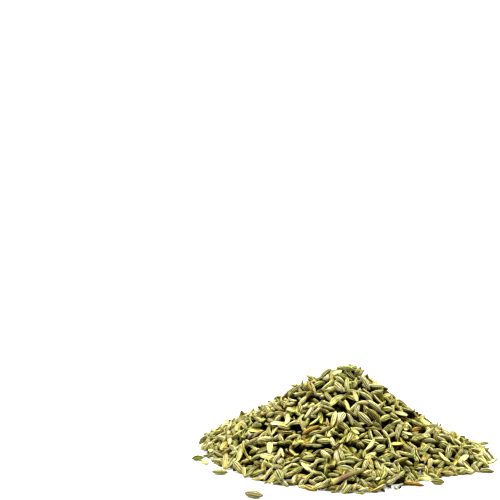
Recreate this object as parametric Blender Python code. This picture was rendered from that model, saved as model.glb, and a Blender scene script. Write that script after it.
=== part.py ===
"""A small heap of dried spice seeds on a flat surface, with a stalk bit and a few stray seeds.

Units are metres, +Z up.  The origin is the middle of the footprint, on the surface.
The front of the heap looks towards -Y and its long way is along X.

Seeds are laid one by one on a grid of heights: each is lowered until it rests on what
lies below, so the shell of the heap is made of real seeds at true size.  The heap's solid
is a core with the barest of those seeds fused on.
"""
import math
from collections import namedtuple

import bmesh
import bpy
import numpy as np
from mathutils import Matrix, Vector

MM = 0.001

# Middle of the whole footprint, in the coordinates of the layout below; it becomes the origin
MIDDLE_X = -1.22 * MM
MIDDLE_Y = -6.09 * MM

# Heap form; the foot's radii go round the peak from +X in equal steps, in millimetres
PEAK_HEIGHT = 34.0 * MM
PEAK_X = 1.5 * MM
PEAK_Y = 0.0 * MM
FOOT_RADII = (59, 51, 46, 49, 51, 57, 61, 63, 61, 55, 56, 55, 57, 53, 51, 61)
SLOPE_POWER = 1.38
SLOPE_SWAY = 0.20
TIP_ROUND = 0.05
SHOULDER_HEIGHT = 28.6 * MM
SHOULDER_SHIFT = 14.5 * MM
SHOULDER_RADIUS = 45.0 * MM
SHOULDER_POWER = 1.20

# Grid of heights
GRID_STEP = 0.5 * MM
GRID_HALF_X = 72.0 * MM
GRID_HALF_Y = 68.0 * MM
HEIGHT_DIGITS = 7
SHELL_DEPTH = 8.0 * MM

# Seeds; shares are of the length, of the width or of all seeds
SEED_RNG = 5
SEED_LENGTH = 6.1 * MM
SEED_LENGTH_SPREAD = 0.95 * MM
SEED_LENGTH_LEAST = 4.2 * MM
SEED_LENGTH_MOST = 8.6 * MM
SLENDER_LEAST = 0.30
SLENDER_MOST = 0.40
SPLIT_SHARE = 0.45
WHOLE_THICKNESS = 0.90
SPLIT_THICKNESS = 0.56
BENDS = (0.03, 0.07, 0.13)
BEND_LEAST = 0.6
BEND_MOST = 1.4
LEANING_SHARE = 0.35
LEAN_MOST = 0.8
PITCH_MOST = 0.95
LEAN_SINK = 1.0 * MM
STEEPEST = math.tan(math.radians(44.0))

# Laying
STATIONS = np.linspace(-0.92, 0.92, 11)
OFFSETS = np.array([-0.85, -0.45, 0.0, 0.45, 0.85])
HEADINGS_TRIED = 5
LOOSE_SHARE = 0.85
HEADING_SPREAD = 0.60
HEADING_SQUASH = 0.35
FOOT_HEIGHT = 8.0 * MM
FOOT_ORDER = 0.35
POINTS_TRIED = 28
LAYING_EDGE = 0.3 * MM
LEAST_GAP = 0.9 * MM
PATIENCE = 400
PROUD_SHARES = (0.55, 0.90)
PROUD_HEIGHTS = (0.4 * MM, 1.2 * MM, 2.2 * MM)
EXTRA_ROOM = 2.2 * MM
FLATTEST_COSINE = 0.4

# The stalk bit on the front slope
STALK_X = 0.6 * MM
STALK_Y = -48.5 * MM
STALK_HEADING = math.radians(25.0)
STALK_LENGTH = 12.5 * MM
STALK_RADIUS = 1.0 * MM
STALK_TAPER = 0.30
STALK_BOW = 0.35 * MM
STALK_SINK = 0.8 * MM
STALK_SIDES = 8
STALK_RINGS = 5
NEST_GAP = 0.35 * MM

# The core and what is fused on it
CORE_SECTORS = 44
CORE_RINGS = 11
CORE_SINK = 0.7 * MM
CORE_RIM = 0.6 * MM
CORE_INSET = 1.4 * MM
CORE_SEARCH_FROM = 25.0 * MM
CORE_SEARCH_TO = 66.0 * MM
RAYS_PER_SECTOR = 5
SMOOTH_CELLS = 7
SMOOTH_PASSES = 2
LEAST_BARENESS = 0.30
FUSED_SPACINGS = (4.7 * MM, 4.0 * MM, 3.4 * MM)
FUSED_MOST = 312
FUSED_OVERHANG = 1.2 * MM
FLOOR_GAP = 0.1 * MM
LOWEST_RING = 0.4 * MM

# Low seeds: two rings and two tips
RING_PLACES = (0.26, 0.74)
WHOLE_SIDES = 5
SPLIT_SECTION = ((-0.90, -0.80), (0.90, -0.80), (0.85, 0.20), (0.0, 1.0), (-0.85, 0.20))

Seed = namedtuple("Seed", "x y z yaw pitch roll length width thick bend split")

# Seeds with a place of their own, in millimetres, degrees and radians
Extra = namedtuple("Extra", "x y heading length width bend split roll lean sink")
EXTRAS = (
    Extra(-56.8, -0.7, -39, 6.2, 2.3, 0.05, False, 0.3, 0.0, 0.0),
    Extra(-54.1, -9.2, -30, 6.4, 1.7, 0.06, True, 0.0, 0.0, 0.0),
    Extra(-48.6, -24.0, -48, 3.8, 1.5, 0.10, True, 0.6, 0.0, 0.0),
    Extra(56.3, -15.0, 12, 5.6, 1.9, 0.22, True, math.pi, 0.9, 0.2),
    Extra(-11.8, -18.2, 10, 5.4, 1.5, 0.42, True, 1.2, 0.0, 0.9),
    Extra(0.0, 3.4, -2, 5.6, 1.4, 0.10, True, 0.6, 0.4, 0.3),
    Extra(0.2, -4.4, -4, 5.6, 2.1, 0.06, False, 0.2, 0.0, 0.8),
    Extra(-8.6, 0.6, 20, 6.4, 2.2, 0.05, False, 0.9, 0.15, 0.9),
    Extra(-8.8, 3.6, 5, 6.8, 1.3, 0.06, True, 0.4, 0.25, 1.6),
    Extra(-3.1, -11.9, -56, 6.6, 2.7, 0.05, False, 0.5, 0.0, 0.9),
    Extra(0.3, -10.1, -83, 6.8, 2.2, 0.07, False, 1.4, 0.0, 1.0),
    Extra(7.1, -7.7, -35, 6.2, 2.5, 0.05, False, 0.1, 0.0, 0.8),
    Extra(3.4, -13.0, -66, 5.4, 1.7, 0.06, True, math.pi, 0.0, 0.6),
    Extra(6.5, -15.5, 25, 6.4, 2.1, 0.10, True, 0.2, 0.0, 0.7),
    Extra(10.6, -14.3, 12, 7.6, 2.5, 0.04, False, 0.7, 0.0, 0.9),
    Extra(-1.8, -23.8, -108, 7.6, 2.7, 0.05, False, 0.5, 0.0, 0.9),
    Extra(1.4, -22.9, -64, 6.4, 1.7, 0.09, True, 0.3, 0.0, 0.8),
    Extra(6.8, -22.1, -28, 7.2, 2.7, 0.06, False, 1.1, 0.0, 1.0),
    Extra(10.7, -18.5, -14, 8.4, 2.3, 0.12, False, 0.3, 0.0, 0.9),
    Extra(-13.7, -24.7, 22, 7.4, 2.0, 0.07, True, 0.5, 0.0, 0.8),
    Extra(-35.4, -20.6, 31, 8.6, 1.6, 0.06, True, 0.2, 0.0, 0.5),
    Extra(-31.3, -22.8, -6, 6.2, 2.2, 0.05, False, 0.8, 0.0, 0.8),
    Extra(-28.9, -27.7, -86, 6.4, 2.3, 0.03, True, math.pi, 0.0, 0.1),
    Extra(-24.6, -45.1, -68, 5.6, 3.2, 0.04, False, 0.0, 0.0, 0.6),
    Extra(-7.6, -37.8, -46, 5.6, 1.9, 0.20, False, 1.3, 0.0, 0.8),
    Extra(-9.8, -40.5, 44, 5.4, 1.7, 0.24, False, -1.2, 0.0, 0.8),
    Extra(14.1, -43.7, 79, 6.4, 1.8, 0.22, False, 1.4, 0.0, 0.5),
    Extra(25.2, -42.4, -8, 7.8, 1.9, 0.06, True, 0.3, 0.2, 0.3),
)
STRAYS = (
    Extra(-57.4, -16.2, 20, 5.2, 2.3, 0.12, True, -2.2, 0.0, 0.0),
    Extra(-54.4, -20.6, -32, 4.8, 1.8, 0.08, True, -2.5, 0.0, 0.0),
    Extra(-47.5, -33.2, -3, 6.2, 2.5, 0.04, False, 0.2, 0.0, 0.0),
    Extra(-33.0, -59.8, -21, 7.4, 3.0, 0.05, False, 0.9, 0.0, 0.0),
    Extra(34.0, -40.2, -4, 5.2, 2.5, 0.04, False, 0.5, 0.0, 0.0),
    Extra(53.4, -25.4, -3, 5.8, 2.0, 0.06, True, 1.1, 0.0, 0.0),
    Extra(55.0, 11.8, 20, 5.2, 1.5, 0.18, True, 0.9, 0.0, 0.0),
)


# ---------------------------------------------------------------- heap form

def foot_radius(angle):
    """Radius of the foot at each angle: a smooth wave through FOOT_RADII."""
    count = len(FOOT_RADII)
    waves = np.fft.rfft(FOOT_RADII) / count
    radius = np.full_like(angle, waves[0].real)
    for k in range(1, len(waves)):
        weight = 2.0 if 2 * k < count else 1.0
        radius += weight * (waves[k].real * np.cos(k * angle) - waves[k].imag * np.sin(k * angle))
    return radius * MM


def cone_height(distance, reach, height, power):
    """Height of a round-topped cone whose sides get flatter towards the foot."""
    rho = np.clip(distance / reach, 0.0, 1.0)
    rounded = np.sqrt(rho ** 2 + TIP_ROUND ** 2) - TIP_ROUND
    full = math.sqrt(1.0 + TIP_ROUND ** 2) - TIP_ROUND
    return height * (1.0 - rounded / full) ** power


def heap_height(x, y):
    """Height that the seeds are filled up to: the main cone and a shoulder to its left."""
    dx = x - PEAK_X
    dy = y - PEAK_Y
    angle = np.arctan2(dy, dx)
    power = SLOPE_POWER + SLOPE_SWAY * np.cos(angle)
    main = cone_height(np.hypot(dx, dy), foot_radius(angle), PEAK_HEIGHT, power)
    aside = np.hypot(dx + SHOULDER_SHIFT, dy)
    shoulder = cone_height(aside, SHOULDER_RADIUS, SHOULDER_HEIGHT, SHOULDER_POWER)
    return np.maximum(main, shoulder)


# ---------------------------------------------------------------- laying seeds

class Field:
    """Grid of heights: what is filled so far, and the number of the seed on top."""

    def __init__(self):
        self.xs = np.arange(-GRID_HALF_X, GRID_HALF_X + GRID_STEP / 2, GRID_STEP)
        self.ys = np.arange(-GRID_HALF_Y, GRID_HALF_Y + GRID_STEP / 2, GRID_STEP)
        grid_x, grid_y = np.meshgrid(self.xs, self.ys, indexing="ij")
        # Rounded, so that no choice below hangs on the last digit of a sum
        self.target = np.round(heap_height(grid_x, grid_y), HEIGHT_DIGITS)
        self.height = np.maximum(0.0, self.target - SHELL_DEPTH)
        self.top = np.full(self.height.shape, -1, dtype=int)

    def cell(self, x, y):
        """Nearest cell of each point."""
        i = np.rint((x + GRID_HALF_X) / GRID_STEP).astype(int)
        j = np.rint((y + GRID_HALF_Y) / GRID_STEP).astype(int)
        return np.clip(i, 0, len(self.xs) - 1), np.clip(j, 0, len(self.ys) - 1)


def lowest_line(s, need):
    """Height at s = 0 and slope of the line that rests on the points (s, need)."""
    middle = s.shape[1] // 2
    left = need[:, :middle, None]
    right = need[:, None, middle + 1:]
    s_left = s[:, :middle, None]
    s_right = s[:, None, middle + 1:]
    slopes = (right - left) / (s_right - s_left)
    levels = (left - slopes * s_left).reshape(len(s), -1)
    rows = np.arange(len(s))
    held = levels.argmax(axis=1)
    slope = slopes.reshape(len(s), -1)[rows, held]
    height = np.maximum(levels[rows, held], (need - slope[:, None] * s).max(axis=1))
    return height, slope


def rest(field, x, y, yaws, half_length, half_across, half_tall):
    """Centre height and slope of a seed lowered at (x, y), for each of the headings."""
    round_off = np.sqrt(1.0 - STATIONS ** 2)
    across = OFFSETS[None, :] * (round_off * half_across)[:, None]
    rise = half_tall * round_off[:, None] * np.sqrt(1.0 - OFFSETS ** 2)[None, :]
    cos_yaw = np.cos(yaws)[:, None, None]
    sin_yaw = np.sin(yaws)[:, None, None]
    cos_pitch = np.ones(len(yaws))
    for _ in range(2):
        s = STATIONS[None, :] * (half_length * cos_pitch)[:, None]
        point_x = x + s[:, :, None] * cos_yaw - across[None] * sin_yaw
        point_y = y + s[:, :, None] * sin_yaw + across[None] * cos_yaw
        i, j = field.cell(point_x, point_y)
        need = (field.height[i, j] + rise[None] / cos_pitch[:, None, None]).max(axis=2)
        height, slope = lowest_line(s, need)
        cos_pitch = np.maximum(FLATTEST_COSINE, 1.0 / np.sqrt(1.0 + slope ** 2))
    return height, slope


def half_section(width, thick, roll):
    """Half the width and half the height that a rolled section takes up."""
    half_across = 0.5 * math.hypot(width * math.cos(roll), thick * math.sin(roll))
    half_tall = 0.5 * math.hypot(thick * math.cos(roll), width * math.sin(roll))
    return half_across, half_tall


def stamp(field, number, seed):
    """Raise the grid to the seed's upper side.  Returns how many cells the seed covers."""
    half_across, half_tall = half_section(seed.width, seed.thick, seed.roll)
    half_length = seed.length / 2
    reach = half_length + GRID_STEP
    low_i, low_j = field.cell(np.array(seed.x - reach), np.array(seed.y - reach))
    high_i, high_j = field.cell(np.array(seed.x + reach), np.array(seed.y + reach))
    rows = slice(int(low_i), int(high_i) + 1)
    columns = slice(int(low_j), int(high_j) + 1)
    dx, dy = np.meshgrid(field.xs[rows] - seed.x, field.ys[columns] - seed.y, indexing="ij")
    cos_pitch = max(FLATTEST_COSINE, math.cos(seed.pitch))
    along = (dx * math.cos(seed.yaw) + dy * math.sin(seed.yaw)) / (half_length * cos_pitch)
    across = (dy * math.cos(seed.yaw) - dx * math.sin(seed.yaw)) / half_across
    room = 1.0 - along ** 2 - across ** 2
    dome = half_tall * np.sqrt(np.maximum(0.0, room)) / cos_pitch
    surface = seed.z + along * half_length * math.sin(seed.pitch) + dome
    higher = (room > 0.0) & (surface > field.height[rows, columns])
    field.height[rows, columns][higher] = surface[higher]
    field.top[rows, columns][higher] = number
    return int((room > 0.0).sum())


def draw_seed(rng):
    """Length, width, thickness, roll and kind of one more seed."""
    drawn = rng.normal(SEED_LENGTH, SEED_LENGTH_SPREAD)
    length = float(np.clip(drawn, SEED_LENGTH_LEAST, SEED_LENGTH_MOST))
    width = length * float(rng.uniform(SLENDER_LEAST, SLENDER_MOST))
    split = bool(rng.random() < SPLIT_SHARE)
    thick = width * (SPLIT_THICKNESS if split else WHOLE_THICKNESS)
    roll = float(rng.uniform(0.0, 2.0 * math.pi))
    return length, width, thick, roll, split


def headings(rng, x, y, height):
    """Headings to try: many seeds lie anyhow, the others outwards, and near the foot along X."""
    foot = max(0.0, 1.0 - height / FOOT_HEIGHT)
    outwards = math.atan2((y - PEAK_Y) * HEADING_SQUASH * (1.0 - foot), x - PEAK_X)
    backwards = math.pi * rng.integers(2)
    loose = rng.random() < LOOSE_SHARE - FOOT_ORDER * foot
    spread = math.pi if loose else HEADING_SPREAD
    return outwards + backwards + rng.uniform(-spread, spread, HEADINGS_TRIED)


def try_seed(field, rng, x, y):
    """One seed at (x, y) in the lowest of a few headings, or None where it stands too proud."""
    length, width, thick, roll, split = draw_seed(rng)
    half_across, half_tall = half_section(width, thick, roll)
    i, j = field.cell(np.array(x), np.array(y))
    yaws = headings(rng, x, y, float(field.target[i, j]))
    heights, slopes = rest(field, x, y, yaws, length / 2, half_across, half_tall)
    heights = np.where(np.abs(slopes) > STEEPEST, np.inf, heights)
    best = int(heights.argmin())
    z = float(heights[best])
    pitch = math.atan(float(slopes[best]))
    if rng.random() < LEANING_SHARE:
        pitch += float(rng.uniform(-LEAN_MOST, LEAN_MOST))
        z -= LEAN_SINK
    pitch = float(np.clip(pitch, -PITCH_MOST, PITCH_MOST))
    proud = PROUD_HEIGHTS[int(np.searchsorted(PROUD_SHARES, rng.random()))]
    bend = float(rng.choice(BENDS) * rng.uniform(BEND_LEAST, BEND_MOST))
    if not z + half_tall < field.target[i, j] + proud:
        return None
    return Seed(x, y, z, float(yaws[best]), pitch, roll, length, width, thick, bend, split)


def lay_seeds(field):
    """Fill the shell of the heap.  Returns the seeds and how bare each one lies."""
    rng = np.random.default_rng(SEED_RNG)
    cells_i, cells_j = np.where(field.target > LAYING_EDGE)
    seeds = []
    covered = []
    misses = 0
    while misses < PATIENCE:
        picks = rng.integers(0, len(cells_i), POINTS_TRIED)
        near_i = cells_i[picks]
        near_j = cells_j[picks]
        gaps = field.target[near_i, near_j] - field.height[near_i, near_j]
        deepest = int(gaps.argmax())
        jitter = rng.uniform(-0.5, 0.5, 2) * GRID_STEP
        x = float(field.xs[near_i[deepest]] + jitter[0])
        y = float(field.ys[near_j[deepest]] + jitter[1])
        seed = try_seed(field, rng, x, y) if gaps[deepest] >= LEAST_GAP else None
        if seed is None:
            misses += 1
            continue
        misses = 0
        covered.append(stamp(field, len(seeds), seed))
        seeds.append(seed)
    showing = np.bincount(field.top[field.top >= 0], minlength=len(seeds))
    return seeds, showing / np.array(covered)


def lay_extra(field, extra):
    """A seed with a place of its own, lowered on what lies there."""
    x = extra.x * MM
    y = extra.y * MM
    length = extra.length * MM
    width = extra.width * MM
    thick = width * (SPLIT_THICKNESS if extra.split else WHOLE_THICKNESS)
    yaw = math.radians(extra.heading)
    half_across, half_tall = half_section(width, thick, extra.roll)
    heights, slopes = rest(field, x, y, np.array([yaw]), length / 2, half_across, half_tall)
    z = float(heights[0]) - extra.sink * MM
    pitch = math.atan(float(slopes[0])) + extra.lean
    return Seed(x, y, z, yaw, pitch, extra.roll, length, width, thick, extra.bend, extra.split)


def gives_way(seed, placed):
    """Whether a laid seed is too near to a seed that has a place of its own."""
    middle = Vector((seed.x, seed.y, seed.z))
    return any((Vector((other.x, other.y, other.z)) - middle).length < EXTRA_ROOM for other in placed)


def stalk_placement(field):
    """Where the stalk bit comes to rest on the front slope."""
    yaws = np.array([STALK_HEADING])
    heights, slopes = rest(field, STALK_X, STALK_Y, yaws, STALK_LENGTH / 2, STALK_RADIUS, STALK_RADIUS)
    place = Matrix.Translation((STALK_X, STALK_Y, float(heights[0]) - STALK_SINK))
    pitch = math.atan(float(slopes[0]))
    return place @ Matrix.Rotation(STALK_HEADING, 4, "Z") @ Matrix.Rotation(-pitch, 4, "Y")


# ---------------------------------------------------------------- meshes

def add_object(name, bm, collection):
    """Object with the mesh of bm, moved so that the middle of the footprint is the origin."""
    bmesh.ops.translate(bm, verts=bm.verts, vec=(-MIDDLE_X, -MIDDLE_Y, 0.0))
    bmesh.ops.recalc_face_normals(bm, faces=bm.faces)
    mesh = bpy.data.meshes.new(name)
    bm.to_mesh(mesh)
    bm.free()
    thing = bpy.data.objects.new(name, mesh)
    collection.objects.link(thing)
    return thing


def loft(bm, rings, first_tip, last_tip):
    """Skin over closed rings of points, ending in a tip at either end."""
    count = len(rings[0])
    layers = [[bm.verts.new(point) for point in ring] for ring in rings]
    start = bm.verts.new(first_tip)
    end = bm.verts.new(last_tip)
    for k in range(count):
        following = (k + 1) % count
        bm.faces.new((start, layers[0][following], layers[0][k]))
        for low, high in zip(layers, layers[1:]):
            bm.faces.new((low[k], low[following], high[following], high[k]))
        bm.faces.new((end, layers[-1][k], layers[-1][following]))


def section_of(seed):
    """Outline of the seed's section, as shares of its half width and half thickness."""
    if seed.split:
        return SPLIT_SECTION
    turns = [2.0 * math.pi * k / WHOLE_SIDES for k in range(WHOLE_SIDES)]
    return [(math.cos(turn), math.sin(turn)) for turn in turns]


def spine_height(seed, t):
    """Height of the bent middle line at share t of the length."""
    return seed.bend * seed.length * (0.5 - (2.0 * t - 1.0) ** 2)


def seed_mesh(seed):
    """Low solid of one seed: a bent spindle of two rings and two tips."""
    place = Matrix.Translation((seed.x, seed.y, seed.z))
    place @= Matrix.Rotation(seed.yaw, 4, "Z")
    place @= Matrix.Rotation(-seed.pitch, 4, "Y")
    place @= Matrix.Rotation(seed.roll, 4, "X")
    # Each seed has its own lowest level, so that no two undersides fall in one plane
    lowest = FLOOR_GAP * (1.0 + seed.x / MM % 1.0)

    def point(t, across, up):
        height = spine_height(seed, t) + up * seed.thick / 2
        moved = place @ Vector(((t - 0.5) * seed.length, across * seed.width / 2, height))
        return Vector((moved.x, moved.y, max(moved.z, lowest)))

    section = section_of(seed)
    rings = []
    for t in RING_PLACES:
        rings.append([point(t, across, up) for across, up in section])
    bm = bmesh.new()
    loft(bm, rings, point(0.0, 0.0, 0.0), point(1.0, 0.0, 0.0))
    return bm


def drop_to_floor(bm):
    """Lower the mesh until it all but touches the surface."""
    lowest = min(vert.co.z for vert in bm.verts)
    bmesh.ops.translate(bm, verts=bm.verts, vec=(0.0, 0.0, FLOOR_GAP - lowest))


def stalk_mesh(place, grown):
    """The stalk bit as a slightly bowed, tapering rod, grown on all sides by the given amount."""
    length = STALK_LENGTH + 2.0 * grown
    bm = bmesh.new()
    rings = []
    for k in range(STALK_RINGS):
        t = k / (STALK_RINGS - 1)
        radius = STALK_RADIUS * (1.0 - STALK_TAPER * t) + grown
        bow = STALK_BOW * (1.0 - (2.0 * t - 1.0) ** 2)
        ring = []
        for side in range(STALK_SIDES):
            turn = 2.0 * math.pi * side / STALK_SIDES
            local = Vector(((t - 0.5) * length, bow + radius * math.cos(turn), radius * math.sin(turn)))
            ring.append(place @ local)
        rings.append(ring)
    ends = [sum(ring, Vector()) / STALK_SIDES for ring in (rings[0], rings[-1])]
    loft(bm, rings, *ends)
    return bm


class Core:
    """The body under the fused seeds: a flat-bottomed mound a little below the seeds' tops."""

    def __init__(self, field):
        self.field = field
        self.surface = smooth(field.height)
        self.radii = [self.radius_of(sector) for sector in range(CORE_SECTORS)]

    def radius_of(self, sector):
        """Mean reach of the seeds along a few rays of the sector, less the inset."""
        distances = np.arange(CORE_SEARCH_FROM, CORE_SEARCH_TO, GRID_STEP / 2)
        reaches = []
        for aside in np.linspace(-0.5, 0.5, RAYS_PER_SECTOR):
            cells = self.cells_along(sector + aside, distances)
            reaches.append(distances[self.field.height[cells] > 0.0].max())
        return float(np.mean(reaches)) - CORE_INSET

    def cells_along(self, sector, distances):
        """Grid cells at the given distances from the peak, along one sector's ray."""
        angle = 2.0 * math.pi * sector / CORE_SECTORS
        x = PEAK_X + distances * math.cos(angle)
        y = PEAK_Y + distances * math.sin(angle)
        return self.field.cell(x, y)

    def covers(self, x, y):
        """Whether the core lies under the point, or nearly so."""
        dx = x - PEAK_X
        dy = y - PEAK_Y
        sector = round(math.atan2(dy, dx) / (2.0 * math.pi) * CORE_SECTORS) % CORE_SECTORS
        return math.hypot(dx, dy) < self.radii[sector] + FUSED_OVERHANG

    def mesh(self):
        """Rings of points about the peak, then a short wall and a flat bottom."""
        bm = bmesh.new()
        rings = [[] for _ in range(CORE_RINGS)]
        for sector in range(CORE_SECTORS):
            angle = 2.0 * math.pi * sector / CORE_SECTORS
            distances = self.radii[sector] * np.arange(1, CORE_RINGS + 1) / CORE_RINGS
            heights = self.surface[self.cells_along(sector, distances)] - CORE_SINK
            for ring, distance, height in zip(rings, distances, heights):
                x = PEAK_X + distance * math.cos(angle)
                y = PEAK_Y + distance * math.sin(angle)
                ring.append(bm.verts.new((x, y, max(float(height), CORE_RIM))))
        top = float(self.surface[self.cells_along(0, np.array(0.0))]) - CORE_SINK
        peak = bm.verts.new((PEAK_X, PEAK_Y, top))
        floor = [bm.verts.new((vert.co.x, vert.co.y, 0.0)) for vert in rings[-1]]
        for k in range(CORE_SECTORS):
            following = (k + 1) % CORE_SECTORS
            bm.faces.new((peak, rings[0][k], rings[0][following]))
            for inner, outer in zip(rings, rings[1:] + [floor]):
                bm.faces.new((inner[k], outer[k], outer[following], inner[following]))
        bm.faces.new(floor)
        bmesh.ops.triangulate(bm, faces=[face for face in bm.faces if len(face.verts) == 4])
        return bm


def smooth(heights):
    """The grid of heights, averaged over a few cells each way."""
    kernel = np.ones(SMOOTH_CELLS) / SMOOTH_CELLS
    smoothed = heights
    for _ in range(SMOOTH_PASSES):
        for axis in (0, 1):
            smoothed = np.apply_along_axis(np.convolve, axis, smoothed, kernel, "same")
    return smoothed


# ---------------------------------------------------------------- fusing

def clear_of_stalk(seed, stalk_place):
    """Whether a seed's middle keeps off the stalk bit's nest."""
    local = stalk_place.inverted() @ Vector((seed.x, seed.y, seed.z))
    past_end = max(0.0, abs(local.x) - STALK_LENGTH / 2)
    return math.hypot(past_end, local.y, local.z) > STALK_RADIUS + NEST_GAP


def clear_of_floor(seed):
    """Whether both rings of a low seed stay above the surface, so that it isn't folded flat."""
    drop = (0.5 - RING_PLACES[0]) * seed.length * abs(math.sin(seed.pitch))
    return seed.z - drop > LOWEST_RING


def can_be_fused(seed, core, stalk_place, placed):
    """Whether a seed stands over the core and keeps off the stalk bit and the placed seeds."""
    free = clear_of_stalk(seed, stalk_place) and not gives_way(seed, placed)
    return free and clear_of_floor(seed) and core.covers(seed.x, seed.y)


def choose_fused(seeds, bareness, core, stalk_place, placed):
    """The largest bare seeds first, spread evenly: widely spaced at first, then closer."""
    size = [bareness[k] * seed.length * seed.width for k, seed in enumerate(seeds)]
    order = sorted(range(len(seeds)), key=lambda k: size[k], reverse=True)
    showing = [seeds[k] for k in order if bareness[k] > LEAST_BARENESS]
    waiting = [seed for seed in showing if can_be_fused(seed, core, stalk_place, placed)]
    chosen = []
    middles = np.full((1, 3), np.inf)
    for spacing in FUSED_SPACINGS:
        for seed in list(waiting):
            middle = np.array([(seed.x, seed.y, seed.z)])
            near = np.linalg.norm(middles - middle, axis=1).min() < spacing
            if near or len(chosen) == FUSED_MOST:
                continue
            waiting.remove(seed)
            chosen.append(seed)
            middles = np.vstack((middles, middle))
    return chosen


def apply_boolean(thing, operation, solver, **operand):
    """Run one Boolean on the object and keep its result."""
    modifier = thing.modifiers.new(operation, "BOOLEAN")
    modifier.operation = operation
    modifier.solver = solver
    for key, value in operand.items():
        setattr(modifier, key, value)
    graph = bpy.context.evaluated_depsgraph_get()
    result = bpy.data.meshes.new_from_object(thing.evaluated_get(graph))
    thing.modifiers.remove(modifier)
    thing.data = result


def keep_main_body(thing):
    """Leave only the largest connected piece: loose scrap goes, and sealed hollows fill up."""
    bm = bmesh.new()
    bm.from_mesh(thing.data)
    pieces = []
    unseen = set(bm.verts)
    while unseen:
        piece = {unseen.pop()}
        edge = list(piece)
        while edge:
            vert = edge.pop()
            for link in vert.link_edges:
                other = link.other_vert(vert)
                if other in unseen:
                    unseen.remove(other)
                    piece.add(other)
                    edge.append(other)
        pieces.append(piece)
    largest = max(pieces, key=len)
    bmesh.ops.delete(bm, geom=[vert for vert in bm.verts if vert not in largest], context="VERTS")
    bmesh.ops.triangulate(bm, faces=bm.faces)
    bm.to_mesh(thing.data)
    bm.free()


def fuse(thing, seeds):
    """Join the seeds to the object with one union."""
    loose = bpy.data.collections.new("loose")
    bpy.context.scene.collection.children.link(loose)
    for seed in seeds:
        add_object("loose_seed", seed_mesh(seed), loose)
    apply_boolean(thing, "UNION", "EXACT", operand_type="COLLECTION", collection=loose)
    for piece in list(loose.objects):
        bpy.data.objects.remove(piece)
    bpy.data.collections.remove(loose)


def cut_nest(thing, stalk_place):
    """Clear the room that the stalk bit lies in, with a small gap round it."""
    cutter = add_object("nest", stalk_mesh(stalk_place, NEST_GAP), bpy.context.scene.collection)
    apply_boolean(thing, "DIFFERENCE", "EXACT", operand_type="OBJECT", object=cutter)
    bpy.data.objects.remove(cutter)


# ---------------------------------------------------------------- materials

def material(name, colour, roughness):
    """Plain dielectric surface of the given linear colour."""
    made = bpy.data.materials.new(name)
    made.use_nodes = True
    shader = made.node_tree.nodes["Principled BSDF"]
    shader.inputs["Base Color"].default_value = (*colour, 1.0)
    shader.inputs["Roughness"].default_value = roughness
    shader.inputs["Metallic"].default_value = 0.0
    return made


def clear_scene():
    """Start from an empty scene."""
    for thing in list(bpy.data.objects):
        bpy.data.objects.remove(thing)


def build():
    """Make the heap, the stalk bit and the stray seeds."""
    clear_scene()
    everything = bpy.context.scene.collection
    field = Field()
    seeds, bareness = lay_seeds(field)
    stalk_place = stalk_placement(field)
    core = Core(field)
    placed = [lay_extra(field, extra) for extra in EXTRAS]
    fused = choose_fused(seeds, bareness, core, stalk_place, placed) + placed

    heap = add_object("seed_heap", core.mesh(), everything)
    fuse(heap, fused)
    cut_nest(heap, stalk_place)
    keep_main_body(heap)
    heap.data.materials.clear()
    heap.data.materials.append(material("heap_seed", (0.36, 0.33, 0.10), 0.65))

    stalk = add_object("stalk_bit", stalk_mesh(stalk_place, 0.0), everything)
    stalk.data.materials.append(material("stalk_brown", (0.19, 0.10, 0.045), 0.75))

    stray_look = material("stray_seed", (0.30, 0.30, 0.10), 0.65)
    bare = Field()
    bare.height[:] = 0.0
    for number, extra in enumerate(STRAYS, start=1):
        bm = seed_mesh(lay_extra(bare, extra))
        drop_to_floor(bm)
        stray = add_object(f"stray_seed_{number}", bm, everything)
        stray.data.materials.append(stray_look)


build()
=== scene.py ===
"""Looks of a small heap of dried spice seeds, with a stalk bit and a few stray seeds.

The seeds are laid one by one by the rule that the part's solids follow, and each then gets its
real form: ribs and furrows, a knob at the tip, a bend, and a dished face where it is split.
Units are metres, +Z up, in the frame of the part's solids.
"""

import math
from collections import namedtuple

import bpy
import numpy as np
from mathutils import Matrix, Vector


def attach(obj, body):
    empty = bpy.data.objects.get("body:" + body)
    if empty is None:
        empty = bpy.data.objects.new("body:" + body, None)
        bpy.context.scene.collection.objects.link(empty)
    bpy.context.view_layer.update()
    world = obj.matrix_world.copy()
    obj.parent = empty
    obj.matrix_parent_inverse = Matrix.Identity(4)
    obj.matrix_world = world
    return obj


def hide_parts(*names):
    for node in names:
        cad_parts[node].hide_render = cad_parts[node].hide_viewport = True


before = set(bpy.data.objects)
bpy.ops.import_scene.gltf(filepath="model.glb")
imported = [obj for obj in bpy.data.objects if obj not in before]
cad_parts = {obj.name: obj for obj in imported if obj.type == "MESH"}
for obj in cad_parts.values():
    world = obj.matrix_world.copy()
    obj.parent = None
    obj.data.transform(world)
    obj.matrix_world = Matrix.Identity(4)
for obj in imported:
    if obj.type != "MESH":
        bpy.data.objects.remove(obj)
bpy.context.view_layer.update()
BODY = "root"

MM = 0.001

# The layout's coordinates are moved by this to the part's origin
MIDDLE = Vector((-1.22 * MM, -6.09 * MM, 0.0))

# Heap form; the foot's radii go round the peak from +X in equal steps, in millimetres
PEAK_HEIGHT = 34.0 * MM
PEAK_X = 1.5 * MM
PEAK_Y = 0.0 * MM
FOOT_RADII = (59, 51, 46, 49, 51, 57, 61, 63, 61, 55, 56, 55, 57, 53, 51, 61)
SLOPE_POWER = 1.38
SLOPE_SWAY = 0.20
TIP_ROUND = 0.05
SHOULDER_HEIGHT = 28.6 * MM
SHOULDER_SHIFT = 14.5 * MM
SHOULDER_RADIUS = 45.0 * MM
SHOULDER_POWER = 1.20

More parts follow.
